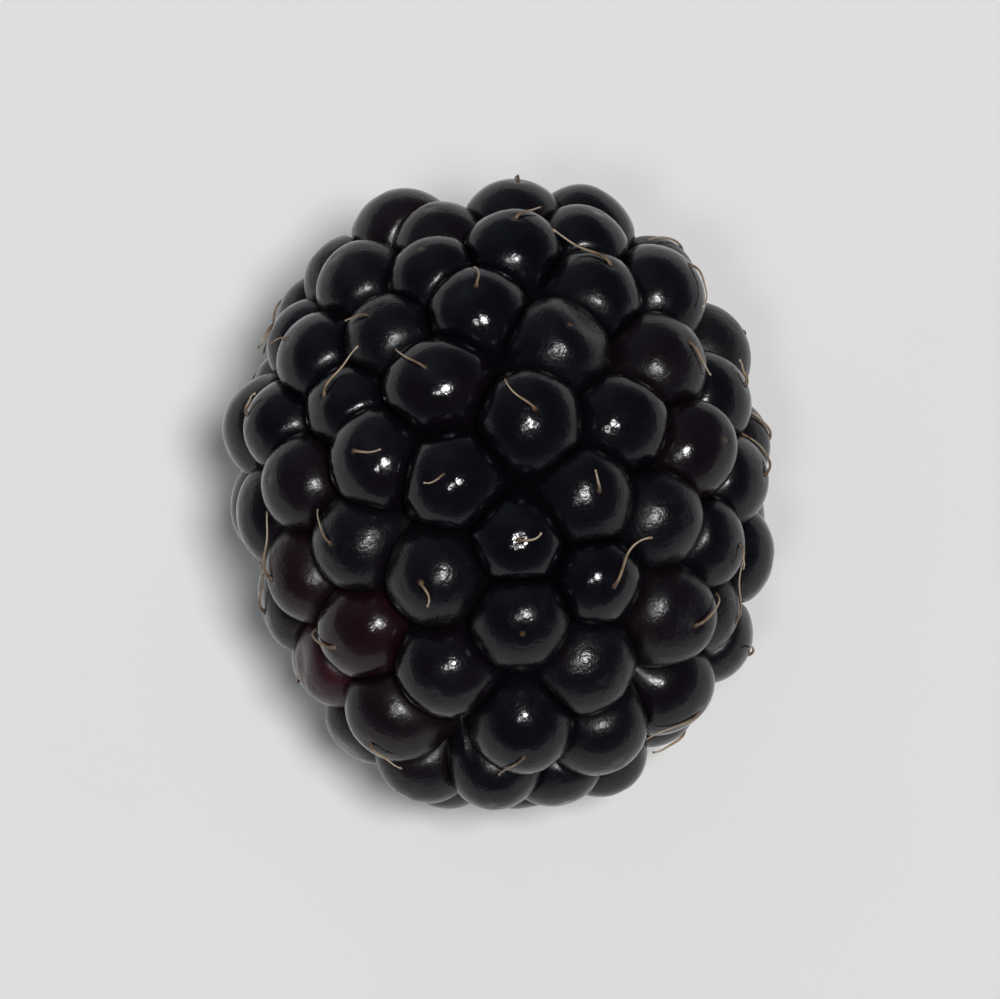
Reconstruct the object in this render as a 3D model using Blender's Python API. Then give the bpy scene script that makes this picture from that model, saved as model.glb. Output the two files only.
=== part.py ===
"""A ripe bramble berry, picked without its calyx and lying on its side.

The fruit is one solid: an ovoid core crowded with drupelets, with the torn stem scar at its
+Y end and its tip at -Y. It lies on four drupelets, which its weight has pressed flat.
Units are metres and +Z is up.
"""

import math

import bmesh
import bpy
import numpy as np
from mathutils import Matrix, Vector

# The whole fruit, measured over its drupelets.
LENGTH = 0.029
WIDTH = 0.0245
TAPER = 0.05  # how much the stem half is wider, and the tip half narrower, than the middle

# The drupelets.
COUNT = 104
SPACING = 0.0040  # between the centres of two neighbours at mid length
END_SHRINK = 0.20  # how much closer they stand at the two ends
SIZE_SPREAD = 0.17  # how much one differs from the next
PLUMPNESS = 0.595  # a drupelet's radius, as a share of the distance to its neighbours
USUAL_RADIUS = PLUMPNESS * SPACING
UNEVENNESS = 0.00036  # how far a drupelet stands proud of the ovoid, or sinks into it
SEED = 7

# The four drupelets it lies on stand at the corners of this rectangle, about the middle.
FOOT_HALF_WIDTH = 0.00195
FOOT_HALF_LENGTH = 0.0021
PRESSED = 0.00028  # how much of a foot's height is pressed flat

# The torn end of the receptacle, where the stem was.
SCAR_RADIUS = 0.0031
SCAR_RECESS = 0.0012  # below the ends of the drupelets round it

# The core's skin, which closes the pits between drupelets, stands this far above their centres.
PIT_FLOOR = 0.0003

# How finely the shapes are divided.
DRUPELET_SEGMENTS = 9
DRUPELET_RINGS = 6
CORE_SEGMENTS = 24
CORE_RINGS = 16
SCAR_SEGMENTS = 24

# The surface that the drupelets' centres lie on.
HALF_WIDTH = WIDTH / 2 - USUAL_RADIUS
HALF_LENGTH = LENGTH / 2 - USUAL_RADIUS * (1 - END_SHRINK / 2)

GOLDEN_ANGLE = math.pi * (3 - math.sqrt(5))
ROUNDS = 300  # of pushing crowded drupelets apart
PUSH = 0.25
NEIGHBOURS = 6


def on_ovoid(points):
    """The points, moved along their direction from the middle onto the centres' ovoid."""
    x, y, z = (points / [HALF_WIDTH, HALF_LENGTH, HALF_WIDTH]).T
    swell = 1 + TAPER * np.clip(y, -1, 1)
    unit = np.stack([x / swell, y, z / swell], axis=1)
    unit /= np.linalg.norm(unit, axis=1, keepdims=True)
    swell = 1 + TAPER * unit[:, 1]
    return np.stack([unit[:, 0] * swell, unit[:, 1], unit[:, 2] * swell], axis=1) * [
        HALF_WIDTH,
        HALF_LENGTH,
        HALF_WIDTH,
    ]


def outward(points):
    """The ovoid's outward direction at each point, leaving out its slight taper."""
    normals = points / np.square([HALF_WIDTH, HALF_LENGTH, HALF_WIDTH])
    return normals / np.linalg.norm(normals, axis=1, keepdims=True)


def spiral():
    """Evenly spread starting points on a spiral from tip to stem end."""
    step = np.arange(COUNT)
    y = -1 + 2 * (step + 0.5) / COUNT
    ring = np.sqrt(1 - y**2)
    turn = step * GOLDEN_ANGLE
    return on_ovoid(np.stack([ring * np.cos(turn), y, ring * np.sin(turn)], axis=1) * LENGTH)


def feet():
    """The centres of the four drupelets that the fruit lies on, all at one height."""
    across = (-FOOT_HALF_WIDTH, FOOT_HALF_WIDTH)
    along = (-FOOT_HALF_LENGTH, FOOT_HALF_LENGTH)
    corners = on_ovoid(np.array([(x, y, -HALF_WIDTH) for x in across for y in along]))
    corners[:, 2] = corners[:, 2].mean()
    return corners


def lay_out():
    """Each drupelet's centre, outward direction and radius."""
    chance = np.random.default_rng(SEED)
    centres = spiral()
    # The spiral's lowest points become the feet.
    lowest = np.argsort(centres[:, 2])
    centres = centres[lowest]
    centres[:4] = feet()
    nearness_to_end = np.abs(centres[:, 1]) / HALF_LENGTH
    spacing = SPACING * (1 - END_SHRINK * nearness_to_end**3)
    spacing *= 1 + SIZE_SPREAD * chance.uniform(-1, 1, COUNT)
    scar = np.array([0, HALF_LENGTH, 0])
    for _ in range(ROUNDS):
        gap = centres[:, None] - centres[None]
        distance = np.linalg.norm(gap, axis=2) + np.eye(COUNT)
        crowding = np.clip((spacing[:, None] + spacing[None]) / 2 - distance, 0, None)
        centres += PUSH * (gap * (crowding / distance)[..., None]).sum(axis=1)
        from_scar = centres - scar
        distance = np.linalg.norm(from_scar, axis=1)
        crowding = np.clip(SCAR_RADIUS + spacing / 2 - distance, 0, None)
        centres += from_scar * (crowding / distance)[:, None]
        centres = on_ovoid(centres)
        centres[:4] = feet()
    gap = np.linalg.norm(centres[:, None] - centres[None], axis=2)
    nearest = np.sort(gap, axis=1)[:, 1 : NEIGHBOURS + 1]
    radii = PLUMPNESS * nearest.mean(axis=1)
    radii[:4] = radii[:4].mean()
    directions = outward(centres)
    lift = UNEVENNESS * chance.uniform(-1, 1, COUNT)
    lift[:4] = 0
    centres += directions * lift[:, None]
    return centres, directions, radii


def set_down(centres, radii):
    """The centres, moved so that the fruit's box stands centred on the origin at z = 0."""
    reach = radii[:, None]
    low = (centres - reach).min(axis=0)
    high = (centres + reach).max(axis=0)
    return [(low[0] + high[0]) / 2, (low[1] + high[1]) / 2, low[2] + PRESSED]


def new_object(name, mesh):
    made = bpy.data.objects.new(name, mesh)
    bpy.context.scene.collection.objects.link(made)
    return made


def helper(name, mesh):
    """A shape that a Boolean uses, and that isn't itself part of the fruit."""
    made = new_object(name, mesh)
    made.hide_render = True
    made.display_type = "WIRE"
    return made


def drupelet_mesh(centres, directions, radii):
    """All the drupelets, as overlapping balls with a pole on their outer side."""
    shape = bmesh.new()
    for centre, direction, radius in zip(centres, directions, radii):
        facing = Vector(direction).to_track_quat("Z", "Y").to_matrix().to_4x4()
        bmesh.ops.create_uvsphere(
            shape,
            u_segments=DRUPELET_SEGMENTS,
            v_segments=DRUPELET_RINGS,
            radius=radius,
            matrix=Matrix.Translation(centre) @ facing,
        )
    mesh = bpy.data.meshes.new("drupelets")
    shape.to_mesh(mesh)
    shape.free()
    return mesh


def core_mesh(middle):
    """The ovoid core under the drupelets."""
    shape = bmesh.new()
    bmesh.ops.create_uvsphere(shape, u_segments=CORE_SEGMENTS, v_segments=CORE_RINGS, radius=1)
    for corner in shape.verts:
        x, z, y = corner.co  # the ball's poles go to the tip and the stem end
        swell = 1 + TAPER * y
        corner.co = (
            (HALF_WIDTH + PIT_FLOOR) * swell * x,
            (HALF_LENGTH + PIT_FLOOR) * y,
            (HALF_WIDTH + PIT_FLOOR) * swell * z,
        )
    bmesh.ops.translate(shape, verts=shape.verts, vec=middle)
    bmesh.ops.recalc_face_normals(shape, faces=shape.faces)
    mesh = bpy.data.meshes.new("bramble_berry")
    shape.to_mesh(mesh)
    shape.free()
    return mesh


def scar_mesh(middle, end):
    """The receptacle's stub, whose torn face shows between the drupelets of the stem end."""
    inner = middle + Vector((0, HALF_LENGTH / 2, 0))
    outer = Vector((middle.x, end - SCAR_RECESS, middle.z))
    shape = bmesh.new()
    bmesh.ops.create_cone(
        shape,
        cap_ends=True,
        segments=SCAR_SEGMENTS,
        radius1=SCAR_RADIUS,
        radius2=SCAR_RADIUS,
        depth=(outer - inner).length,
        matrix=Matrix.Translation((inner + outer) / 2) @ Matrix.Rotation(-math.pi / 2, 4, "X"),
    )
    mesh = bpy.data.meshes.new("scar_stub")
    shape.to_mesh(mesh)
    shape.free()
    return mesh


def table_mesh():
    """A block whose top is the surface the fruit lies on."""
    depth = LENGTH / 4
    shape = bmesh.new()
    bmesh.ops.create_cube(
        shape,
        size=1,
        matrix=Matrix.Translation((0, 0, -depth / 2)) @ Matrix.Diagonal((2 * LENGTH, 2 * LENGTH, depth, 1)),
    )
    mesh = bpy.data.meshes.new("table")
    shape.to_mesh(mesh)
    shape.free()
    return mesh


def skin_material():
    """Ripe skin: almost black, with a violet cast, and glossy."""
    material = bpy.data.materials.new("berry_skin")
    material.use_nodes = True
    shader = material.node_tree.nodes["Principled BSDF"]
    shader.inputs["Base Color"].default_value = (0.016, 0.010, 0.022, 1)
    shader.inputs["Roughness"].default_value = 0.28
    shader.inputs["Metallic"].default_value = 0
    return material


def boolean(target, operation, tool, within_tool=False):
    """within_tool is for a tool whose own parts overlap."""
    step = target.modifiers.new(f"{operation.lower()} {tool.name}", "BOOLEAN")
    step.operation = operation
    step.object = tool
    step.solver = "EXACT"
    step.use_self = within_tool


def main():
    for old in list(bpy.data.objects):
        bpy.data.objects.remove(old)
    centres, directions, radii = lay_out()
    stand = set_down(centres, radii)
    centres = centres - stand
    middle = -Vector(stand)
    stem_end = (centres[:, 1] + radii).max()

    drupelets = helper("drupelets", drupelet_mesh(centres, directions, radii))
    stub = helper("scar_stub", scar_mesh(middle, stem_end))
    table = helper("table", table_mesh())

    berry = new_object("bramble_berry", core_mesh(middle))
    berry.data.materials.append(skin_material())
    boolean(berry, "UNION", drupelets, within_tool=True)
    boolean(berry, "UNION", stub)
    boolean(berry, "DIFFERENCE", table)


main()
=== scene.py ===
"""How a ripe bramble berry looks: its skin, the dried styles on it and its torn stem scar.

The drupelets stand where the CAD model has them, because lay_out() repeats its rule.
Units are metres and +Z is up. The berry's tip points to -Y and its stem end to +Y.
"""

import collections
import math

import bmesh
import bpy
import numpy as np
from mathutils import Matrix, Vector, noise
from mathutils.bvhtree import BVHTree


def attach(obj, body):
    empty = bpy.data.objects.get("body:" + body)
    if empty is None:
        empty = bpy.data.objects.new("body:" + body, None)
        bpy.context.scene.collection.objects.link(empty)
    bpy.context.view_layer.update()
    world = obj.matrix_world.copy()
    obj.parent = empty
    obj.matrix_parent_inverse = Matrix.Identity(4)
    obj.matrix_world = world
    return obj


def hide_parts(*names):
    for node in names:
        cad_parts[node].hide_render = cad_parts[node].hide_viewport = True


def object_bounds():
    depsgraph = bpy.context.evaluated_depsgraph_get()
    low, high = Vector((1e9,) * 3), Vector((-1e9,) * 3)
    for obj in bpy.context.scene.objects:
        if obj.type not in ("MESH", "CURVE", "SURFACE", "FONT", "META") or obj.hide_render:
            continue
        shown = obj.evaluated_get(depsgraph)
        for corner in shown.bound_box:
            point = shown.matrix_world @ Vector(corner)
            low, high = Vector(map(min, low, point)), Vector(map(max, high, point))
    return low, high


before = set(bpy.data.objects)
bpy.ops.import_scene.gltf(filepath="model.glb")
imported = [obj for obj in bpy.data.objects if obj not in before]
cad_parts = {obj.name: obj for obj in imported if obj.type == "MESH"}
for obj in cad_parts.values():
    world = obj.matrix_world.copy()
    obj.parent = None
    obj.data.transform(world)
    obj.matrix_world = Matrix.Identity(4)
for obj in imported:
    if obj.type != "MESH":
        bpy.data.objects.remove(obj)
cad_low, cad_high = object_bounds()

# ---------------------------------------------------------------- the layout, as in CAD
LENGTH = 0.029  # of the whole fruit, over its drupelets
WIDTH = 0.0245
TAPER = 0.05  # how much the stem half is wider, and the tip half narrower, than the middle
COUNT = 104  # of drupelets
SPACING = 0.0040  # between the centres of two neighbours at mid length
END_SHRINK = 0.20  # how much closer they stand at the two ends
SIZE_SPREAD = 0.17  # how much one differs from the next
PLUMPNESS = 0.595  # a drupelet's radius, as a share of the distance to its neighbours
USUAL_RADIUS = PLUMPNESS * SPACING
UNEVENNESS = 0.00036  # how far a drupelet stands proud of the ovoid, or sinks into it
SEED = 7
FEET = 4  # the drupelets that it lies on, at the corners of a rectangle
FOOT_HALF_WIDTH = 0.00195
FOOT_HALF_LENGTH = 0.0021
PRESSED = 0.00028  # how much of a foot's height is pressed flat
SCAR_RADIUS = 0.0031
HALF_WIDTH = WIDTH / 2 - USUAL_RADIUS  # of the ovoid that the centres lie on
HALF_LENGTH = LENGTH / 2 - USUAL_RADIUS * (1 - END_SHRINK / 2)
GOLDEN_ANGLE = math.pi * (3 - math.sqrt(5))
ROUNDS = 300  # of pushing crowded drupelets apart
PUSH = 0.25
NEIGHBOURS = 6

# ---------------------------------------------------------------- the fine surface
RINGS = 17  # from a drupelet's apex to the crease round it
CREASE_STEPS = 7  # along the crease between two drupelets
CREASE_DEPTH = 0.00045  # below the line where two plain balls would meet
PIT_DEPTH = 0.00035  # the same, where three meet
PIT_FLOOR = 0.0003  # no crease lies lower than this above the drupelets' centres
SHORTEST_CREASE = 1e-7  # one that runs back by less than this isn't settled again
SETTLING_ROUNDS = 60  # of swapping neighbours whose crease runs backwards
WELD_DISTANCE = 2e-6  # points this close are joined
TIGHTNESS = 18  # how squarely a drupelet fills its place among its neighbours
LEAST_FACING = 1e-6  # stands for a ray that runs away from a neighbour
FLARE = 7  # how late a drupelet bends out to meet the crease
LUMPINESS = 0.03  # slow unevenness of a drupelet's radius, as a share of it
LUMP_WAVES = 4
LUMP_PITCH = 2.2  # radians of wave for each radian round the drupelet
LUMP_SEEDS = 1000  # with a drupelet's number added, the seed of its lumps
OBLONG = 0.07  # how much longer than wide it is, as a share of its radius
DIMPLE_DEPTH = 0.00005
DIMPLE_WIDTH = 0.11  # radians, seen from the drupelet's centre
DENTED = 11  # drupelets that dried a little and sank in
DENT_DEPTH = 0.00042
DENT_SHARE = (0.5, 1)  # of that depth
DENT_WIDTH = 0.5  # radians, seen from the drupelet's centre
DENT_WANDER = 0.35  # how far from the apex a dent usually is
SOFTNESS = 0.00006  # of the edge of a pressed foot
MAP_FILL = 0.47  # a drupelet's radius on the UV map, as a share of its square's side

# ---------------------------------------------------------------- the skin's tones
REDNESS = (0.06, 0.09)  # mean and spread, from 0, black, to 1, wine red
MOST_REDNESS = 0.3  # outside the spots that ripened last
DULLNESS = (0.10, 0.26)  # mean and spread, from 0, glossy, to 1, matte
DENT_DULLNESS = 0.5
SPECKED = 0.45  # the share of drupelets with a brown speck at the apex
SPECK_STRENGTH = 0.8
# Where the fruit ripened last, in shares of its half sizes, and how far that reaches.
LAST_RIPE = ((-0.74, -0.60, 0.18), (0.55, 0.62, -0.45))
LAST_RIPE_REACH = 0.0034
LAST_RIPE_REDNESS = (0.65, 1.0)

# ---------------------------------------------------------------- dried styles
STYLES = 46
STYLE_LENGTH = (0.0009, 0.0034)
STYLE_WIDTH = 0.000055  # its usual radius
STYLE_VARIETY = (0.8, 1.2)  # one style's width, as a share of the usual
STYLE_TAPER = (1.25, 0.5)  # its radius at the foot and at the free end, as shares of STYLE_WIDTH
FOOT_SWELL, FOOT_REACH = 0.9, 0.05  # how much thicker its foot is, and the share that is foot
STIGMA_SWELL, STIGMA_PLACE, STIGMA_REACH = 0.55, 0.96, 0.04
STYLE_STEPS = 26
STYLE_CURL = (0.1, 1.5)  # radians that it turns in all, to either side
STYLE_BEND = (0.3, 2.1)  # how strong its curl is at the foot, and how much more at its end
STYLE_LIFT = (0.00002, 0.00022)  # off the drupelets, midway
STYLE_LOOSE = (0, 0.00045)  # off them, at the free end
STYLE_LOWEST = 0.0045  # no style grows from a drupelet with its apex lower than this
STYLE_PROUD = 0.0004  # no style reaches further than this past the CAD model's box
DRAPE_ROUNDS = 60  # of stretching a style straight over the gaps under it
SMOOTHING_ROUNDS = 3
TUBE_SIDES = 6
SKEW = (0.3, 0.1, 0.2)  # turns a direction into one that no strand follows

# ---------------------------------------------------------------- the torn stem scar
SCAR_BALL = SCAR_RADIUS * 1.02  # the ball that the drupelets round the scar are pressed by
SCAR_SINK = 0.0010  # how far its centre lies inside the stem end
BED_DEPTH = 0.0013  # how far the skin dips under the scar
SCAR_SIDES = 96
SCAR_RINGS = 30
SCAR_OVERLAP = 1.03  # how far its edge passes the creases round it
SCAR_UNDERSIDE = 0.0001
EDGE_DROP = 0.0006
COLLAR_HEIGHT = 0.00065
COLLAR_PLACE = 0.66  # from the middle, as a share of the scar's radius
COLLAR_WIDTH = 0.19
COLLAR_WANDER = 0.08
RAGGEDNESS = 0.8
PITH_DEPTH = 0.00070
PITH_WIDTH = 0.27
FIBRE_HEIGHT = 0.00022
FIBRE_PITCH = 5.5
RAG_PITCH = 1.7
TORN_STRANDS = 26
TORN_LENGTH = (0.0005, 0.0013)
TORN_WIDTH = 0.00008  # its radius near the foot
TORN_PLACE = (0.5, 0.8)  # from the middle, as shares of the scar's radius
TORN_LEAN = (-0.9, 0.6)  # how far its end leans inwards or outwards, as shares of its length
TORN_TWIST = 0.9  # how far that leans to a side, at most
TORN_RISE = 0.75
TORN_STEPS = 12

# ---------------------------------------------------------------- the camera
CAMERA_BEARING = (-4, 71)  # azimuth and elevation, in degrees
CAMERA_DISTANCE = 0.32
BERRY_SHARE = 0.64  # of the picture's height, roughly

# places are on the ovoid about its own middle, and middle is where that is in the world.
Sites = collections.namedtuple("Sites", "places centres directions radii middle")


def unit(vectors):
    return vectors / np.linalg.norm(vectors, axis=-1, keepdims=True)


# ---------------------------------------------------------------- where the drupelets stand
def on_ovoid(points):
    """The points, moved along their direction from the middle onto the centres' ovoid."""
    x, y, z = (points / [HALF_WIDTH, HALF_LENGTH, HALF_WIDTH]).T
    swell = 1 + TAPER * np.clip(y, -1, 1)
    direction = unit(np.stack([x / swell, y, z / swell], axis=1))
    swell = 1 + TAPER * direction[:, 1]
    shape = np.stack([direction[:, 0] * swell, direction[:, 1], direction[:, 2] * swell], axis=1)
    return shape * [HALF_WIDTH, HALF_LENGTH, HALF_WIDTH]


def outward(points):
    """The ovoid's outward direction at each point, leaving out its slight taper."""
    return unit(points / np.square([HALF_WIDTH, HALF_LENGTH, HALF_WIDTH]))


def spiral():
    """Evenly spread starting points on a spiral from tip to stem end."""
    step = np.arange(COUNT)
    y = -1 + 2 * (step + 0.5) / COUNT
    ring = np.sqrt(1 - y**2)
    turn = step * GOLDEN_ANGLE
    return on_ovoid(np.stack([ring * np.cos(turn), y, ring * np.sin(turn)], axis=1) * LENGTH)


def feet():
    """The centres of the four drupelets that the fruit lies on, all at one height."""
    across = (-FOOT_HALF_WIDTH, FOOT_HALF_WIDTH)
    along = (-FOOT_HALF_LENGTH, FOOT_HALF_LENGTH)
    corners = on_ovoid(np.array([(x, y, -HALF_WIDTH) for x in across for y in along]))
    corners[:, 2] = corners[:, 2].mean()
    return corners


def lay_out():
    """Each drupelet's place on the ovoid, centre, outward direction and radius."""
    chance = np.random.default_rng(SEED)
    centres = spiral()
    lowest = np.argsort(centres[:, 2])
    centres = centres[lowest]
    centres[:FEET] = feet()
    nearness_to_end = np.abs(centres[:, 1]) / HALF_LENGTH
    spacing = SPACING * (1 - END_SHRINK * nearness_to_end**3)
    spacing *= 1 + SIZE_SPREAD * chance.uniform(-1, 1, COUNT)
    scar = np.array([0, HALF_LENGTH, 0])
    for _ in range(ROUNDS):
        gap = centres[:, None] - centres[None]
        distance = np.linalg.norm(gap, axis=2) + np.eye(COUNT)
        crowding = np.clip((spacing[:, None] + spacing[None]) / 2 - distance, 0, None)
        centres += PUSH * (gap * (crowding / distance)[..., None]).sum(axis=1)
        from_scar = centres - scar
        distance = np.linalg.norm(from_scar, axis=1)
        crowding = np.clip(SCAR_RADIUS + spacing / 2 - distance, 0, None)
        centres += from_scar * (crowding / distance)[:, None]
        centres = on_ovoid(centres)
        centres[:FEET] = feet()
    gap = np.linalg.norm(centres[:, None] - centres[None], axis=2)
    nearest = np.sort(gap, axis=1)[:, 1 : NEIGHBOURS + 1]
    radii = PLUMPNESS * nearest.mean(axis=1)
    radii[:FEET] = radii[:FEET].mean()
    directions = outward(centres)
    lift = UNEVENNESS * chance.uniform(-1, 1, COUNT)
    lift[:FEET] = 0
    return centres, centres + directions * lift[:, None], directions, radii


def set_down(centres, radii):
    """The point of the fruit's own frame that stands at the origin."""
    reach = radii[:, None]
    low = (centres - reach).min(axis=0)
    high = (centres + reach).max(axis=0)
    return np.array([(low[0] + high[0]) / 2, (low[1] + high[1]) / 2, low[2] + PRESSED])


def lay_down():
    """The skin's sites in the world: every drupelet, the feet first, and last the stem scar."""
    places, centres, directions, radii = lay_out()
    stand = set_down(centres, radii)
    return Sites(
        places=np.concatenate([places, [[0, HALF_LENGTH, 0]]]),
        centres=np.concatenate([centres, [[0, HALF_LENGTH - SCAR_SINK, 0]]]) - stand,
        directions=np.concatenate([directions, [[0, 1, 0]]]),
        radii=np.append(radii, SCAR_BALL),
        middle=-stand,
    )


# ---------------------------------------------------------------- the skin's net of creases
def hull_corners(sites):
    """Which site closes each triangle of neighbours: (a, b) -> c, anticlockwise from outside.

    A large drupelet's site is lifted a little, which moves the hull's edges as its size does.
    """
    lift = (sites.radii**2 - np.mean(sites.radii**2)) / (2 * HALF_WIDTH)
    lifted = sites.places + outward(sites.places) * lift[:, None]
    shape = bmesh.new()
    for place in lifted:
        shape.verts.new(place)
    shape.verts.index_update()
    bmesh.ops.convex_hull(shape, input=shape.verts)
    bmesh.ops.triangulate(shape, faces=shape.faces)
    closes = {}
    for face in shape.faces:
        a, b, c = (corner.index for corner in face.verts)
        facing = np.cross(lifted[b] - lifted[a], lifted[c] - lifted[a])
        if facing @ lifted[a] < 0:
            b, c = c, b
        closes.update({(a, b): c, (b, c): a, (c, a): b})
    shape.free()
    return closes


def divide(i, j, sites):
    """The way from drupelet i to j, and how far along it the plane that divides them lies."""
    apart = sites.centres[j] - sites.centres[i]
    distance = np.linalg.norm(apart)
    share = (distance**2 + sites.radii[i] ** 2 - sites.radii[j] ** 2) / (2 * distance)
    return apart / distance, share


def pit(triple, sites):
    """The bottom of the gap between three neighbours, where their dividing planes meet."""
    a, b, c = sites.centres[list(triple)]
    ra, rb, rc = sites.radii[list(triple)]
    normal = unit(np.cross(b - a, c - a))
    reach = [((b - a) @ (b - a) + ra**2 - rb**2) / 2, ((c - a) @ (c - a) + ra**2 - rc**2) / 2, 0]
    offset = np.linalg.solve(np.stack([b - a, c - a, normal]), reach)
    meeting = math.sqrt(max(ra**2 - offset @ offset, 0))
    return a + offset + normal * max(meeting - PIT_DEPTH, PIT_FLOOR)


def way_out(i, j, across, sites):
    """The way out of the crease between drupelets i and j, square to the way across it."""
    out = sites.directions[i] + sites.directions[j]
    return unit(out - across * (out @ across))


def settle(closes, sites):
    """Swaps the neighbours of each crease that would run backwards, until none does."""
    for _ in range(SETTLING_ROUNDS):
        swapped = False
        for a, b in [pair for pair in closes if pair[0] < pair[1]]:
            if (a, b) not in closes:
                continue
            c, d = closes[a, b], closes[b, a]
            across, _ = divide(a, b, sites)
            run = pit((a, b, c), sites) - pit((b, a, d), sites)
            forward = run @ np.cross(way_out(a, b, across, sites), across)
            if forward > -SHORTEST_CREASE or (c, d) in closes:
                continue
            del closes[a, b], closes[b, a]
            closes.update({(a, d): c, (d, c): a, (c, a): d, (d, b): c, (b, c): d, (c, d): b})
            swapped = True
        if not swapped:
            break


def crease(i, j, start, end, sites):
    """The inner points of the crease between drupelets i and j, from one pit to the next."""
    across, share = divide(i, j, sites)
    out = way_out(i, j, across, sites)
    middle = sites.centres[i] + across * share
    along = np.cross(across, out)
    from_side, to_side = (start - middle) @ along, (end - middle) @ along
    from_height, to_height = (start - middle) @ out, (end - middle) @ out
    meeting = max(sites.radii[i] ** 2 - share**2 - ((from_side + to_side) / 2) ** 2, 0)
    top = max(math.sqrt(meeting) - CREASE_DEPTH, PIT_FLOOR)
    hump = max(top - (from_height + to_height) / 2, 0)
    step = (np.arange(1, CREASE_STEPS) / CREASE_STEPS)[:, None]
    side = from_side + (to_side - from_side) * step
    height = from_height + (to_height - from_height) * step + 4 * hump * step * (1 - step)
    return middle + along * side + out * height


class Net:
    """The creases round every site, as one shared list of points."""

    def __init__(self, sites):
        closes = hull_corners(sites)
        settle(closes, sites)
        self.closes = closes
        self.pits = {}  # (a, b) -> the point number of the pit left of the way from a to b
        self.points = []
        for (a, b), c in closes.items():
            if a == min(a, b, c):
                for pair in ((a, b), (b, c), (c, a)):
                    self.pits[pair] = len(self.points)
                self.points.append(pit((a, b, c), sites))
        self.inner = {}  # (a, b) -> the point numbers between the two pits of their crease
        for i, j in closes:
            if i > j:
                continue
            start, end = self.points[self.pits[j, i]], self.points[self.pits[i, j]]
            first = len(self.points)
            self.points.extend(crease(i, j, start, end, sites))
            self.inner[i, j] = list(range(first, len(self.points)))

    def round(self, site):
        """The site's neighbours and its rim's point numbers, anticlockwise from outside."""
        start = min(there for here, there in self.closes if here == site)
        neighbours, rim = [], []
        there = start
        while True:
            neighbours.append(there)
            rim.append(self.pits[there, site])
            between = self.inner[min(site, there), max(site, there)]
            rim.extend(between if site < there else between[::-1])
            there = self.closes[site, there]
            if there == start:
                return neighbours, rim


# ---------------------------------------------------------------- a drupelet's shape
def ball_reach(rays, site, radius):
    """How far the drupelet would reach along each ray, if it had no neighbours."""
    if site < FEET:
        return np.full(len(rays), radius)
    chance = np.random.default_rng(LUMP_SEEDS + site)
    waves = chance.normal(0, 1, (LUMP_WAVES, 3))
    phases = chance.uniform(0, 2 * math.pi, LUMP_WAVES)
    lumps = np.sin(LUMP_PITCH * rays @ waves.T + phases).mean(axis=-1)
    long_way = unit(chance.normal(0, 1, 3))
    stretch = (rays @ long_way) ** 2 - 1 / 3
    return radius * (1 + LUMPINESS * lumps + OBLONG * stretch)


def reach(rays, site, neighbours, sites):
    """How far the drupelet reaches along each ray, pressed by its neighbours."""
    total = ball_reach(rays, site, sites.radii[site]) ** -TIGHTNESS
    for other in neighbours:
        across, share = divide(site, other, sites)
        facing = np.clip(rays @ across, LEAST_FACING, None)
        total = total + (facing / share) ** TIGHTNESS
    return total ** (-1 / TIGHTNESS)


def drupelet_rings(site, neighbours, rim, dent, sites):
    """The rings of points between a drupelet's apex and its rim, and the apex itself.

    dent is the way from its centre to where it has sunk in, as long as the dent is deep.
    """
    centre, pole = sites.centres[site], sites.directions[site]
    rim_rays = unit(rim - centre)
    rim_angle = np.arccos(np.clip(rim_rays @ pole, -1, 1))
    sideways = unit(rim_rays - pole * (rim_rays @ pole)[:, None])
    to_rim = np.linalg.norm(rim - centre, axis=1) / reach(rim_rays, site, neighbours, sites)
    depth = np.linalg.norm(dent)

    def surface(rays, angle):
        far = reach(rays, site, neighbours, sites)
        far = far - DIMPLE_DEPTH * np.exp(-((angle / DIMPLE_WIDTH) ** 2))
        if depth:
            off_dent = np.arccos(np.clip(rays @ dent / depth, -1, 1))
            far = far - depth * np.exp(-((off_dent / DENT_WIDTH) ** 2))
        return far

    rings = []
    for ring in range(1, RINGS):
        share = ring / RINGS
        angle = rim_angle * share
        rays = pole * np.cos(angle)[:, None] + sideways * np.sin(angle)[:, None]
        far = surface(rays, angle) * (1 + (to_rim - 1) * share**FLARE)
        rings.append(centre + rays * far[:, None])
    return rings, centre + pole * surface(pole[None], np.zeros(1))


def scar_rings(rim, centre):
    """The rings of the hollow bed that the torn stem scar lies in, and its bottom."""
    bed = np.array([centre[0], rim[:, 1].mean() - BED_DEPTH, centre[2]])
    return [bed + (rim - bed) * (ring / RINGS) for ring in range(1, RINGS)], bed


def press(points):
    """The points, with what would be under the table pressed flat against it."""
    z = points[:, 2]
    points[:, 2] = (z + np.sqrt(z**2 + SOFTNESS**2)) / 2
    return points


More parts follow.
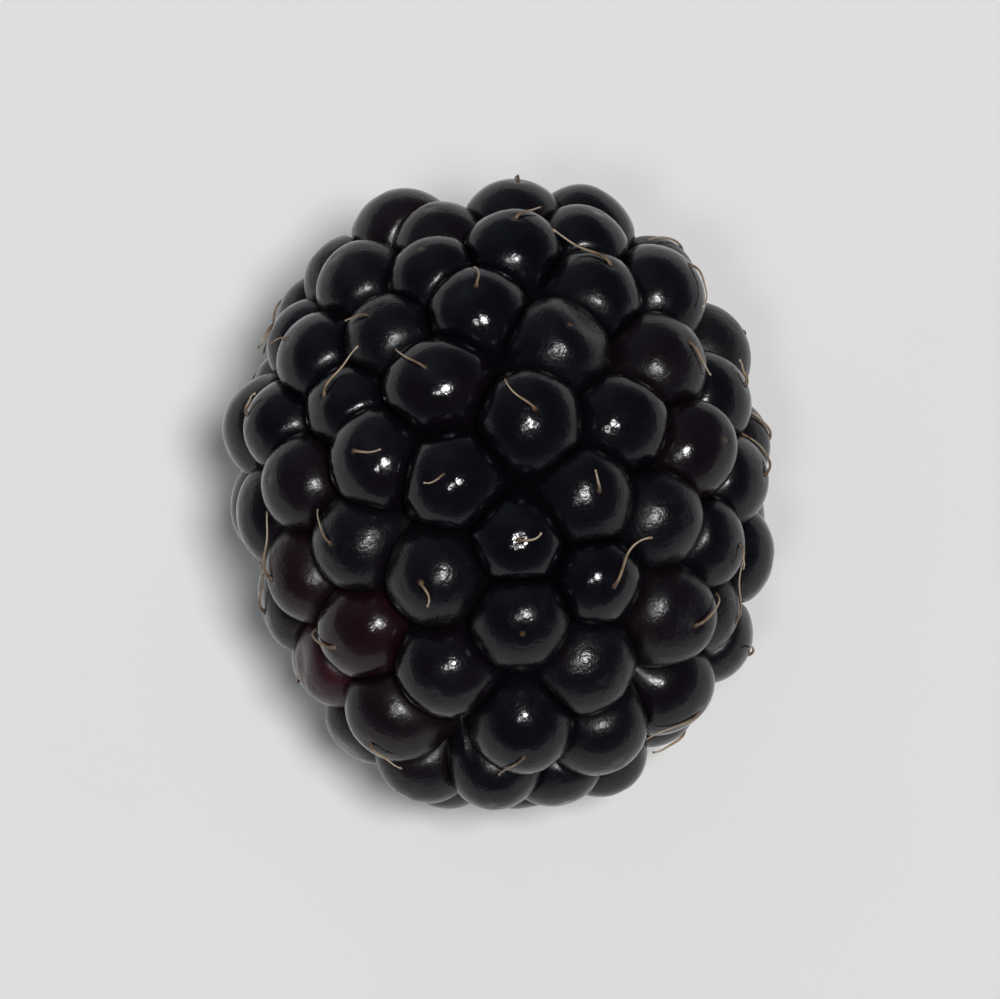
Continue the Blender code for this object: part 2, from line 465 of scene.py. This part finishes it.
# ---------------------------------------------------------------- the skin's mesh
def blemishes(sites):
    """The tones of each site's skin, by name, and each site's dent."""
    chance = np.random.default_rng(SEED + 1)
    count = len(sites.centres)
    redness = np.clip(chance.normal(*REDNESS, count), 0, MOST_REDNESS)
    dullness = np.clip(chance.normal(*DULLNESS, count), 0, 1)
    speck = (chance.uniform(0, 1, count) < SPECKED) * SPECK_STRENGTH
    for spot in LAST_RIPE:
        heart = sites.middle + unit(np.array(spot)) * [HALF_WIDTH, HALF_LENGTH, HALF_WIDTH]
        off = np.linalg.norm(sites.centres - heart, axis=1)
        near = np.exp(-((off / LAST_RIPE_REACH) ** 2))
        redness += near * chance.uniform(*LAST_RIPE_REDNESS, count)
    dents = np.zeros((count, 3))
    # The redder a drupelet is, the likelier it has dried. The feet and the scar have no dent.
    likely = 0.25 + redness[FEET:-1] ** 2 * 3
    for site in FEET + chance.choice(COUNT - FEET, DENTED, replace=False, p=likely / likely.sum()):
        way = unit(sites.directions[site] + chance.normal(0, DENT_WANDER, 3))
        dents[site] = way * DENT_DEPTH * chance.uniform(*DENT_SHARE)
        dullness[site] = max(dullness[site], DENT_DULLNESS)
    return {"redness": redness, "dullness": dullness, "speck": speck}, dents


def fan(around):
    """One site's faces, each as its corners' rings, from 0 at the apex, and steps round it."""
    for step in range(around):
        yield (0, step), (1, step), (1, step + 1)
        for ring in range(1, RINGS):
            yield (ring, step), (ring + 1, step), (ring + 1, step + 1), (ring, step + 1)


def skin_mesh(net, sites, dents, tones):
    """One closed skin: each site's fan of quads out to the creases that it shares.

    At each face corner, depth runs from 0 at the apex to 1 at the crease, and from_apex is
    how far off the apex is.
    """
    count = len(sites.centres)
    columns = math.ceil(math.sqrt(count))
    points = [np.array(net.points)]
    total = len(net.points)
    faces, maps, depths, gaps, owners = [], [], [], [], []
    for site in range(count):
        neighbours, rim_numbers = net.round(site)
        rim = points[0][rim_numbers]
        if site == count - 1:
            rings, apex = scar_rings(rim, sites.centres[site])
        else:
            rings, apex = drupelet_rings(site, neighbours, rim, dents[site], sites)
        around = len(rim_numbers)
        points.append(apex.reshape(1, 3))
        points.extend(rings)
        inner = total + 1 + np.arange(around * (RINGS - 1)).reshape(RINGS - 1, around)
        rows = [[total] * around, *inner.tolist(), rim_numbers]
        gap = [np.zeros(around), *(np.linalg.norm(ring - apex, axis=1) for ring in [*rings, rim])]
        total += 1 + inner.size
        place = np.array([(site % columns + 0.5) / columns, (site // columns + 0.5) / columns])
        turn = 2 * math.pi * np.arange(around + 1) / around
        circle = np.stack([np.cos(turn), np.sin(turn)], axis=1) * (MAP_FILL / columns)
        for face in fan(around):
            faces.append([rows[ring][step % around] for ring, step in face])
            for ring, step in face:
                maps.append(place + circle[step] * (ring / RINGS))
                depths.append(ring / RINGS)
                gaps.append(gap[ring][step % around])
                owners.append(site)
    mesh = bpy.data.meshes.new("skin")
    mesh.from_pydata(press(np.concatenate(points)).tolist(), [], faces)
    mesh.uv_layers.new(name="OFBake").data.foreach_set("uv", np.array(maps).ravel())
    mesh.attributes.new("depth", "FLOAT", "CORNER").data.foreach_set("value", depths)
    mesh.attributes.new("from_apex", "FLOAT", "CORNER").data.foreach_set("value", gaps)
    for name, values in tones.items():
        mesh.attributes.new(name, "FLOAT", "CORNER").data.foreach_set("value", values[owners])
    mesh.shade_smooth()
    sharpen_creases(mesh, len(net.points))
    weld(mesh)
    return mesh


def sharpen_creases(mesh, crease_points):
    """Makes each edge between two of the first points, which lie in the creases, a sharp one."""
    ends = np.empty(len(mesh.edges) * 2, np.int32)
    mesh.edges.foreach_get("vertices", ends)
    sharp = (ends.reshape(-1, 2) < crease_points).all(axis=1)
    mesh.attributes.new("sharp_edge", "BOOLEAN", "EDGE").data.foreach_set("value", sharp)


def weld(mesh):
    """Joins points that all but coincide, as those along a crease of no length do."""
    shape = bmesh.new()
    shape.from_mesh(mesh)
    bmesh.ops.remove_doubles(shape, verts=shape.verts, dist=WELD_DISTANCE)
    shape.to_mesh(mesh)
    shape.free()


# ---------------------------------------------------------------- thin strands
class Strands:
    """Closed, tapering tubes, gathered for one mesh."""

    def __init__(self):
        self.points, self.faces, self.along = [], [], []

    def add(self, route, widths):
        """A tube along the route, whose radius at each of its points is in widths."""
        first = len(self.points)
        forward = unit(np.gradient(route, axis=0))
        side = unit(np.cross(forward[0], np.roll(forward[0], -1) + SKEW))
        turn = 2 * math.pi * np.arange(TUBE_SIDES) / TUBE_SIDES
        for place, ahead, width in zip(route, forward, widths):
            side = unit(side - ahead * (side @ ahead))
            ring = np.outer(np.cos(turn), side) + np.outer(np.sin(turn), np.cross(ahead, side))
            self.points.extend(place + width * ring)
        self.along.extend(np.repeat(np.linspace(0, 1, len(route)), TUBE_SIDES))
        ring = np.arange(TUBE_SIDES)
        after = (ring + 1) % TUBE_SIDES
        for step in range(len(route) - 1):
            low = first + step * TUBE_SIDES
            high = low + TUBE_SIDES
            quads = np.stack([low + ring, low + after, high + after, high + ring], axis=1)
            self.faces.extend(quads.tolist())
        self.faces.append((first + ring[::-1]).tolist())
        self.faces.append((first + (len(route) - 1) * TUBE_SIDES + ring).tolist())

    def mesh(self, name):
        mesh = bpy.data.meshes.new(name)
        mesh.from_pydata(np.array(self.points).tolist(), [], self.faces)
        mesh.attributes.new("along", "FLOAT", "POINT").data.foreach_set("value", self.along)
        mesh.shade_smooth()
        return mesh


# ---------------------------------------------------------------- the dried styles
def skin_under(tree, place, up):
    """The skin's point in line with the place and its way up, or None."""
    return tree.ray_cast(Vector(place + up * LENGTH / 4), Vector(-up))[0]


def style_route(tree, middle, foot, heading, length, curl, lift, loose):
    """The way a style lies over the drupelets, from its foot at an apex to its free end.

    It turns by curl for each metre, and stands lift off them midway and loose at its end.
    """
    step = length / STYLE_STEPS
    place = foot
    track, ups, floor = [], [], []
    for share in np.arange(STYLE_STEPS + 1) / STYLE_STEPS:
        up = outward((place - middle)[None])[0]
        hit = skin_under(tree, place, up)
        track.append(place)
        ups.append(up)
        floor.append(STYLE_WIDTH + ((np.array(hit) - place) @ up if hit else 0))
        heading = unit(heading - up * (heading @ up))
        bend = curl * step * (STYLE_BEND[0] + STYLE_BEND[1] * share**2)
        heading = heading * math.cos(bend) + np.cross(up, heading) * math.sin(bend)
        place = place + heading * step
    floor = np.array(floor)
    height = floor.copy()
    for _ in range(DRAPE_ROUNDS):
        height[1:-1] = np.maximum(floor[1:-1], (height[:-2] + height[2:]) / 2)
    share = np.linspace(0, 1, STYLE_STEPS + 1)
    # One slow swing off the skin and a small quick one, then the free end's rise.
    height += lift * (np.sin(share * 2.4) + 0.25 * np.sin(share * 9)) + loose * share**3
    height[0] = floor[0] - 2 * STYLE_WIDTH  # the foot is sunk in the skin
    route = np.array(track) + np.array(ups) * height[:, None]
    for _ in range(SMOOTHING_ROUNDS):
        route[1:-1] = (route[:-2] + 2 * route[1:-1] + route[2:]) / 4
    return route


def style_widths():
    """A style's radius at each step: it tapers, is thicker at its foot and ends in its stigma."""
    share = np.linspace(0, 1, STYLE_STEPS + 1)
    taper = np.linspace(*STYLE_TAPER, STYLE_STEPS + 1)
    foot = FOOT_SWELL * np.exp(-((share / FOOT_REACH) ** 2))
    stigma = STIGMA_SWELL * np.exp(-(((share - STIGMA_PLACE) / STIGMA_REACH) ** 2))
    return STYLE_WIDTH * (taper + foot + stigma)


def dried_styles(skin, sites):
    """The withered styles: fine, curling hairs, each from a drupelet's apex."""
    chance = np.random.default_rng(SEED + 2)
    corners = [point.co for point in skin.data.vertices]
    tree = BVHTree.FromPolygons(corners, [list(face.vertices) for face in skin.data.polygons])
    apexes = sites.centres[:-1] + sites.directions[:-1] * sites.radii[:-1, None]
    high_enough = np.flatnonzero(apexes[:, 2] > STYLE_LOWEST)
    widths = style_widths()
    strands = Strands()
    for site in chance.choice(high_enough, STYLES, replace=False):
        pole = sites.directions[site]
        foot = np.array(skin_under(tree, sites.centres[site], pole))
        heading = np.cross(pole, unit(chance.normal(0, 1, 3)))
        length = chance.uniform(*STYLE_LENGTH)
        curl = chance.choice([-1, 1]) * chance.uniform(*STYLE_CURL) / length
        lift, loose = chance.uniform(*STYLE_LIFT), chance.uniform(*STYLE_LOOSE)
        route = style_route(tree, sites.middle, foot, heading, length, curl, lift, loose)
        route = np.clip(route, np.array(cad_low) - STYLE_PROUD, np.array(cad_high) + STYLE_PROUD)
        strands.add(route, widths * chance.uniform(*STYLE_VARIETY))
    return strands.mesh("dried_styles")


# ---------------------------------------------------------------- the stem scar
def ease(value, low, high):
    """0 below low, 1 above high, and a smooth step between."""
    share = np.clip((value - low) / (high - low), 0, 1)
    return share * share * (3 - 2 * share)


def scar_height(way, share):
    """The scar's height over its rim, this way from its middle and this share of its radius off."""
    strand = noise.noise(way * FIBRE_PITCH + Vector((0, 0, share * 1.1)))
    ragged = noise.noise(way * RAG_PITCH + Vector((3, 1, share * 0.6)))
    off_collar = share - COLLAR_PLACE - COLLAR_WANDER * ragged
    collar = COLLAR_HEIGHT * math.exp(-((off_collar / COLLAR_WIDTH) ** 2))
    height = COLLAR_HEIGHT / 2 * (1 - ease(share, 0.7, 1.0)) + collar * (1 + RAGGEDNESS * ragged)
    height -= PITH_DEPTH * math.exp(-((share / PITH_WIDTH) ** 2))
    height += FIBRE_HEIGHT * strand * ease(share, 0.1, 0.35)
    return height - EDGE_DROP * ease(share, 0.82, 1.0)


def scar_mesh(rim):
    """The torn receptacle: a ragged collar of fibres round a hollow pith, closed underneath."""
    bed = rim.mean(axis=0)
    off = rim - bed
    turn = 2 * math.pi * np.arange(SCAR_SIDES) / SCAR_SIDES
    rim_turn = np.arctan2(off[:, 2], off[:, 0])
    edge = np.interp(turn, rim_turn, np.linalg.norm(off[:, [0, 2]], axis=1), period=2 * math.pi)
    points = [bed - [0, PITH_DEPTH - COLLAR_HEIGHT / 2, 0]]
    fibres = [(0, 0, 0)]
    for ring in range(1, SCAR_RINGS + 1):
        share = ring / SCAR_RINGS
        for angle, far in zip(turn, edge * SCAR_OVERLAP * share):
            way = Vector((math.cos(angle), math.sin(angle), 0))
            points.append(bed + [far * way.x, scar_height(way, share), far * way.y])
            fibres.append((way.x, way.y, share))
    points.append(bed - [0, EDGE_DROP + SCAR_UNDERSIDE, 0])
    fibres.append((0, 0, 1))
    faces = []
    last = len(points) - 1
    for side in range(SCAR_SIDES):
        after = (side + 1) % SCAR_SIDES
        faces.append((0, 1 + after, 1 + side))
        for ring in range(SCAR_RINGS - 1):
            inner, outer = 1 + ring * SCAR_SIDES, 1 + (ring + 1) * SCAR_SIDES
            faces.append((inner + side, inner + after, outer + after, outer + side))
        outer = 1 + (SCAR_RINGS - 1) * SCAR_SIDES
        faces.append((outer + side, outer + after, last))
    rimward = np.array(fibres)[:, 2]
    mesh = bpy.data.meshes.new("stem_scar")
    mesh.from_pydata(np.array(points).tolist(), [], faces)
    mesh.attributes.new("fibre", "FLOAT_VECTOR", "POINT").data.foreach_set("vector", np.ravel(fibres))
    mesh.attributes.new("rimward", "FLOAT", "POINT").data.foreach_set("value", rimward)
    mesh.shade_smooth()
    return mesh


def torn_strands(rim):
    """Short fibres standing up from the scar's collar."""
    chance = np.random.default_rng(SEED + 3)
    bed = rim.mean(axis=0)
    radius = np.linalg.norm((rim - bed)[:, [0, 2]], axis=1).mean()
    share = np.linspace(0, 1, TORN_STEPS)[:, None]
    strands = Strands()
    for _ in range(TORN_STRANDS):
        angle = chance.uniform(0, 2 * math.pi)
        away = np.array([math.cos(angle), 0, math.sin(angle)])
        sideways = np.cross(away, [0, 1, 0])
        lean, twist = chance.uniform(*TORN_LEAN), chance.uniform(-TORN_TWIST, TORN_TWIST)
        length = chance.uniform(*TORN_LENGTH)
        foot = bed + away * radius * chance.uniform(*TORN_PLACE) + [0, COLLAR_HEIGHT * 0.6, 0]
        rise = share * [0, TORN_RISE, 0] + away * lean * share**2 + sideways * twist * share**1.6
        strands.add(foot + length * rise, TORN_WIDTH * (1.15 - share[:, 0]))
    return strands.mesh("torn_strands")


def new_object(name, mesh, material):
    made = bpy.data.objects.new(name, mesh)
    bpy.context.scene.collection.objects.link(made)
    made.data.materials.append(material)
    return made


# ---------------------------------------------------------------- materials
class Nodes:
    """A material's or world's nodes, made and linked by short calls."""

    def __init__(self, name, kind=bpy.data.materials):
        self.made = kind.new(name)
        self.made.use_nodes = True
        self.tree = self.made.node_tree
        self.shader = self.tree.nodes.get("Principled BSDF")

    def add(self, kind, values=None, **settings):
        node = self.tree.nodes.new(kind)
        for key, value in settings.items():
            setattr(node, key, value)
        for key, value in (values or {}).items():
            self.put(node.inputs[key], value)
        return node

    def put(self, socket, value):
        if isinstance(value, bpy.types.NodeSocket):
            self.tree.links.new(value, socket)
        else:
            socket.default_value = value

    def noise(self, size, detail=3, roughness=0.5, where=None):
        """Noise whose features are about size across, in the units of where: metres."""
        where = where or self.add("ShaderNodeTexCoord").outputs["Object"]
        values = {"Vector": where, "Scale": 1 / size, "Detail": detail, "Roughness": roughness}
        return self.add("ShaderNodeTexNoise", values).outputs["Fac"]

    def range(self, value, low, high, to_low, to_high):
        """What runs from to_low to to_high as the value runs from low to high."""
        values = {"Value": value, "From Min": low, "From Max": high, "To Min": to_low, "To Max": to_high}
        return self.add("ShaderNodeMapRange", values).outputs["Result"]

    def mix(self, share, first, second, blend_type="MIX"):
        node = self.add("ShaderNodeMix", data_type="RGBA", blend_type=blend_type)
        self.put(node.inputs[0], share)
        self.put(node.inputs[6], first)
        self.put(node.inputs[7], second)
        return node.outputs[2]

    def ramp(self, value, *stops):
        """Colours by value: each stop is a position and a colour."""
        node = self.add("ShaderNodeValToRGB", {"Fac": value})
        steps = node.color_ramp.elements
        steps[0].position, steps[1].position = stops[0][0], stops[-1][0]
        steps[0].color, steps[1].color = (*stops[0][1], 1), (*stops[-1][1], 1)
        for position, colour in stops[1:-1]:
            steps.new(position).color = (*colour, 1)
        return node.outputs["Color"]

    def maths(self, operation, first, second):
        node = self.add("ShaderNodeMath", operation=operation)
        self.put(node.inputs[0], first)
        self.put(node.inputs[1], second)
        return node.outputs[0]

    def dot(self, first, second):
        values = {0: first, 1: second}
        return self.add("ShaderNodeVectorMath", values, operation="DOT_PRODUCT").outputs["Value"]

    def attribute(self, name, output="Fac"):
        return self.add("ShaderNodeAttribute", attribute_name=name).outputs[output]

    def bump(self, height, depth, under=None):
        """The normal bent by this height, depth metres deep, over the bump under it."""
        node = self.add("ShaderNodeBump", {"Height": height, "Distance": depth, "Strength": 1.0})
        if under is not None:
            self.put(node.inputs["Normal"], under)
        return node.outputs["Normal"]


def skin_material():
    """Ripe skin: near black with a violet cast, glossy and finely pebbled; wine red where less ripe."""
    nodes = Nodes("ripe_skin")
    shader = nodes.shader.inputs
    depth = nodes.attribute("depth")
    dullness = nodes.attribute("dullness")
    mottle = nodes.noise(0.0011, 4, 0.6)
    skin = nodes.ramp(
        nodes.maths("ADD", nodes.attribute("redness"), nodes.range(mottle, 0.35, 0.7, -0.07, 0.08)),
        (0.0, (0.0022, 0.0024, 0.0040)),
        (0.4, (0.0072, 0.0026, 0.0048)),
        (0.75, (0.0180, 0.0036, 0.0066)),
        (1.0, (0.0420, 0.0060, 0.0090)),
    )
    # Bloom lies in thin patches on the open side of each drupelet.
    patches = nodes.range(nodes.noise(0.0021, 4, 0.65), 0.52, 0.75, 0, 1)
    open_side = nodes.range(depth, 0.3, 0.85, 1, 0)
    bloom = nodes.maths("MULTIPLY", nodes.maths("MULTIPLY", patches, open_side), 0.05)
    skin = nodes.mix(bloom, skin, (0.09, 0.10, 0.14, 1))
    # Where a style grew, it leaves a brown speck with an uneven edge.
    edge = nodes.range(mottle, 0, 1, 0.00008, -0.00008)
    from_apex = nodes.maths("ADD", nodes.attribute("from_apex"), edge)
    inside = nodes.range(from_apex, 0.00009, 0.00015, 1, 0)
    speck = nodes.maths("MULTIPLY", inside, nodes.attribute("speck"))
    nodes.put(shader["Base Color"], nodes.mix(speck, skin, (0.075, 0.040, 0.020, 1)))
    # The skin is most worn, and so glossiest, round the apex, and matte in the creases.
    grain = nodes.noise(0.00014, 2, 0.5)
    rough = nodes.range(dullness, 0, 1, 0.06, 0.32)
    rough = nodes.maths("ADD", rough, nodes.range(grain, 0.3, 0.7, 0, 0.09))
    rough = nodes.maths("ADD", rough, nodes.range(depth, 0.5, 1.0, 0, 0.27))
    rough = nodes.maths("ADD", rough, nodes.maths("MULTIPLY", bloom, 2.0))
    nodes.put(shader["Roughness"], rough)
    pebbles = nodes.maths("MULTIPLY", grain, nodes.range(dullness, 0, 1, 0.45, 1.6))
    slow = nodes.noise(0.00060, 3, 0.5)
    ripples = nodes.maths("MULTIPLY", slow, nodes.range(dullness, 0, 1, 0.7, 1.5))
    nodes.put(shader["Normal"], nodes.bump(ripples, 0.000040, nodes.bump(pebbles, 0.000013)))
    shader["IOR"].default_value = 1.38
    shader["Subsurface Weight"].default_value = 0.05
    shader["Subsurface Radius"].default_value = (1.0, 0.16, 0.22)
    shader["Subsurface Scale"].default_value = 0.0005
    return nodes.made


def style_material():
    """A withered style: brown at the foot, straw coloured towards the end."""
    nodes = Nodes("dried_style")
    blotch = nodes.range(nodes.noise(0.0004, 3), 0.3, 0.7, -0.18, 0.18)
    colour = nodes.ramp(
        nodes.maths("ADD", nodes.attribute("along"), blotch),
        (0.0, (0.065, 0.036, 0.020)),
        (0.35, (0.24, 0.165, 0.10)),
        (0.85, (0.40, 0.33, 0.24)),
        (1.0, (0.20, 0.13, 0.08)),
    )
    nodes.put(nodes.shader.inputs["Base Color"], colour)
    ridges = nodes.noise(0.00008, 2)
    nodes.put(nodes.shader.inputs["Roughness"], nodes.range(ridges, 0.3, 0.7, 0.45, 0.7))
    nodes.put(nodes.shader.inputs["Normal"], nodes.bump(ridges, 0.00001))
    return nodes.made


def scar_material():
    """Torn receptacle: cream and green fibres with painted shade in the grooves between them, brown at
    the pith, stained by juice at the rim.
    """
    nodes = Nodes("stem_scar")
    blotch = nodes.range(nodes.noise(0.0012, 4, 0.6), 0.3, 0.7, -0.10, 0.10)
    colour = nodes.ramp(
        nodes.maths("ADD", nodes.attribute("rimward"), blotch),
        (0.0, (0.085, 0.045, 0.022)),
        (0.20, (0.22, 0.17, 0.075)),
        (0.45, (0.43, 0.41, 0.20)),
        (0.66, (0.46, 0.38, 0.22)),
        (0.80, (0.15, 0.035, 0.050)),
        (1.0, (0.012, 0.003, 0.008)),
    )
    fibres = nodes.noise(0.13, 4, 0.6, nodes.attribute("fibre", "Vector"))
    # Painted shade: the colour is darkened to under half where the fibre bump sinks, as shade in the
    # grooves between fibres.
    shade = nodes.ramp(fibres, (0.3, (0.45, 0.42, 0.38)), (0.65, (1, 1, 1)))
    return fibrous(nodes, nodes.mix(1.0, colour, shade, "MULTIPLY"), fibres)


def strand_material():
    """A strand torn from the scar: greenish at the foot, browner at the end."""
    nodes = Nodes("torn_strand")
    colour = nodes.ramp(nodes.attribute("along"), (0, (0.30, 0.26, 0.13)), (1, (0.42, 0.30, 0.16)))
    return fibrous(nodes, colour, nodes.noise(0.00008, 2))


def fibrous(nodes, colour, fibres):
    """The nodes' material, with this colour and the finish and bump of these fibres."""
    nodes.put(nodes.shader.inputs["Base Color"], colour)
    nodes.put(nodes.shader.inputs["Roughness"], nodes.range(fibres, 0.3, 0.7, 0.75, 0.5))
    nodes.put(nodes.shader.inputs["Normal"], nodes.bump(fibres, 0.00006))
    return nodes.made


def paper_material():
    """Plain pale paper, very slightly uneven."""
    nodes = Nodes("pale_paper")
    shade = nodes.range(nodes.noise(0.03, 4), 0.3, 0.7, 0.98, 1.0)
    colour = nodes.mix(1.0, (0.80, 0.79, 0.78, 1), shade, "MULTIPLY")
    nodes.put(nodes.shader.inputs["Base Color"], colour)
    nodes.shader.inputs["Roughness"].default_value = 0.8
    return nodes.made


# ---------------------------------------------------------------- floor, light and camera
def floor_mesh():
    shape = bmesh.new()
    bmesh.ops.create_grid(shape, x_segments=1, y_segments=1, size=3)
    mesh = bpy.data.meshes.new("floor")
    shape.to_mesh(mesh)
    shape.free()
    return mesh


def bearing(azimuth, elevation):
    """The way to this bearing, in degrees: azimuth 0 is in front, at -Y, and 90 is at +X."""
    a, e = math.radians(azimuth), math.radians(elevation)
    return Vector((math.sin(a) * math.cos(e), -math.cos(a) * math.cos(e), math.sin(e)))


def face_berry(holder, way, distance):
    """Stands a light or a camera this way from the berry's middle, and turns it there."""
    middle = Vector((0, 0, (cad_low[2] + cad_high[2]) / 2))
    bpy.context.scene.collection.objects.link(holder)
    holder.location = middle + way * distance
    holder.rotation_euler = way.to_track_quat("Z", "Y").to_euler()


def soft_light(name, azimuth, elevation, strength, breadth):
    """A far, soft light: strength in W/m², and breadth the degrees that it spans."""
    light = bpy.data.lights.new(name, "SUN")
    light.energy = strength
    light.angle = math.radians(breadth)
    face_berry(bpy.data.objects.new(name, light), bearing(azimuth, elevation), 1)


def room_world():
    """A room that is dim overhead, and lighter low down and to the back."""
    room = Nodes("studio", bpy.data.worlds)
    way = room.add("ShaderNodeTexCoord").outputs["Generated"]
    height = room.maths("MAXIMUM", room.dot(way, (0, 0, 1)), 0)
    low_glow = room.maths("POWER", room.maths("SUBTRACT", 1, height), 5)
    backward = room.maths("MAXIMUM", room.dot(way, bearing(205, 38)), 0)
    back_glow = room.maths("POWER", backward, 5)
    strength = room.maths("ADD", room.maths("MULTIPLY", low_glow, 0.30), 0.06)
    strength = room.maths("ADD", strength, room.maths("MULTIPLY", back_glow, 0.16))
    surroundings = room.tree.nodes["Background"]
    room.put(surroundings.inputs["Color"], (0.80, 0.90, 1.0, 1))
    room.put(surroundings.inputs["Strength"], strength)
    # The camera sees the floor's own tone past the floor's edge.
    backdrop = room.add("ShaderNodeBackground", {"Color": (0.688, 0.688, 0.687, 1)})
    to_camera = room.add("ShaderNodeLightPath").outputs["Is Camera Ray"]
    seen = room.add("ShaderNodeMixShader", {"Fac": to_camera})
    room.put(seen.inputs[1], surroundings.outputs[0])
    room.put(seen.inputs[2], backdrop.outputs[0])
    room.put(room.tree.nodes["World Output"].inputs["Surface"], seen.outputs[0])
    return room.made


def new_camera():
    lens = bpy.data.cameras.new("camera")
    camera = bpy.data.objects.new("camera", lens)
    face_berry(camera, bearing(*CAMERA_BEARING), CAMERA_DISTANCE)
    frame_height = (cad_high[1] - cad_low[1]) / BERRY_SHARE
    lens.lens = lens.sensor_width * CAMERA_DISTANCE / frame_height
    lens.clip_start = 0.01
    return camera


# ---------------------------------------------------------------- the berry and its scene
sites = lay_down()
tones, dents = blemishes(sites)
net = Net(sites)
skin = new_object("ripe_skin", skin_mesh(net, sites, dents, tones), skin_material())
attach(skin, "root")
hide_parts("bramble_berry")

styles = new_object("dried_styles", dried_styles(skin, sites), style_material())
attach(styles, "root")

scar_rim = np.array(net.points)[net.round(COUNT)[1]]
scar = new_object("stem_scar", scar_mesh(scar_rim), scar_material())
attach(scar, "root")
strands = new_object("torn_strands", torn_strands(scar_rim), strand_material())
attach(strands, "root")

new_object("floor", floor_mesh(), paper_material())
soft_light("key", 24, 72, 2.40, 12)
soft_light("key_side", 340, 64, 0.40, 7)
bpy.context.scene.world = room_world()
bpy.context.scene.camera = new_camera()
bpy.context.scene.view_settings.view_transform = "Standard"
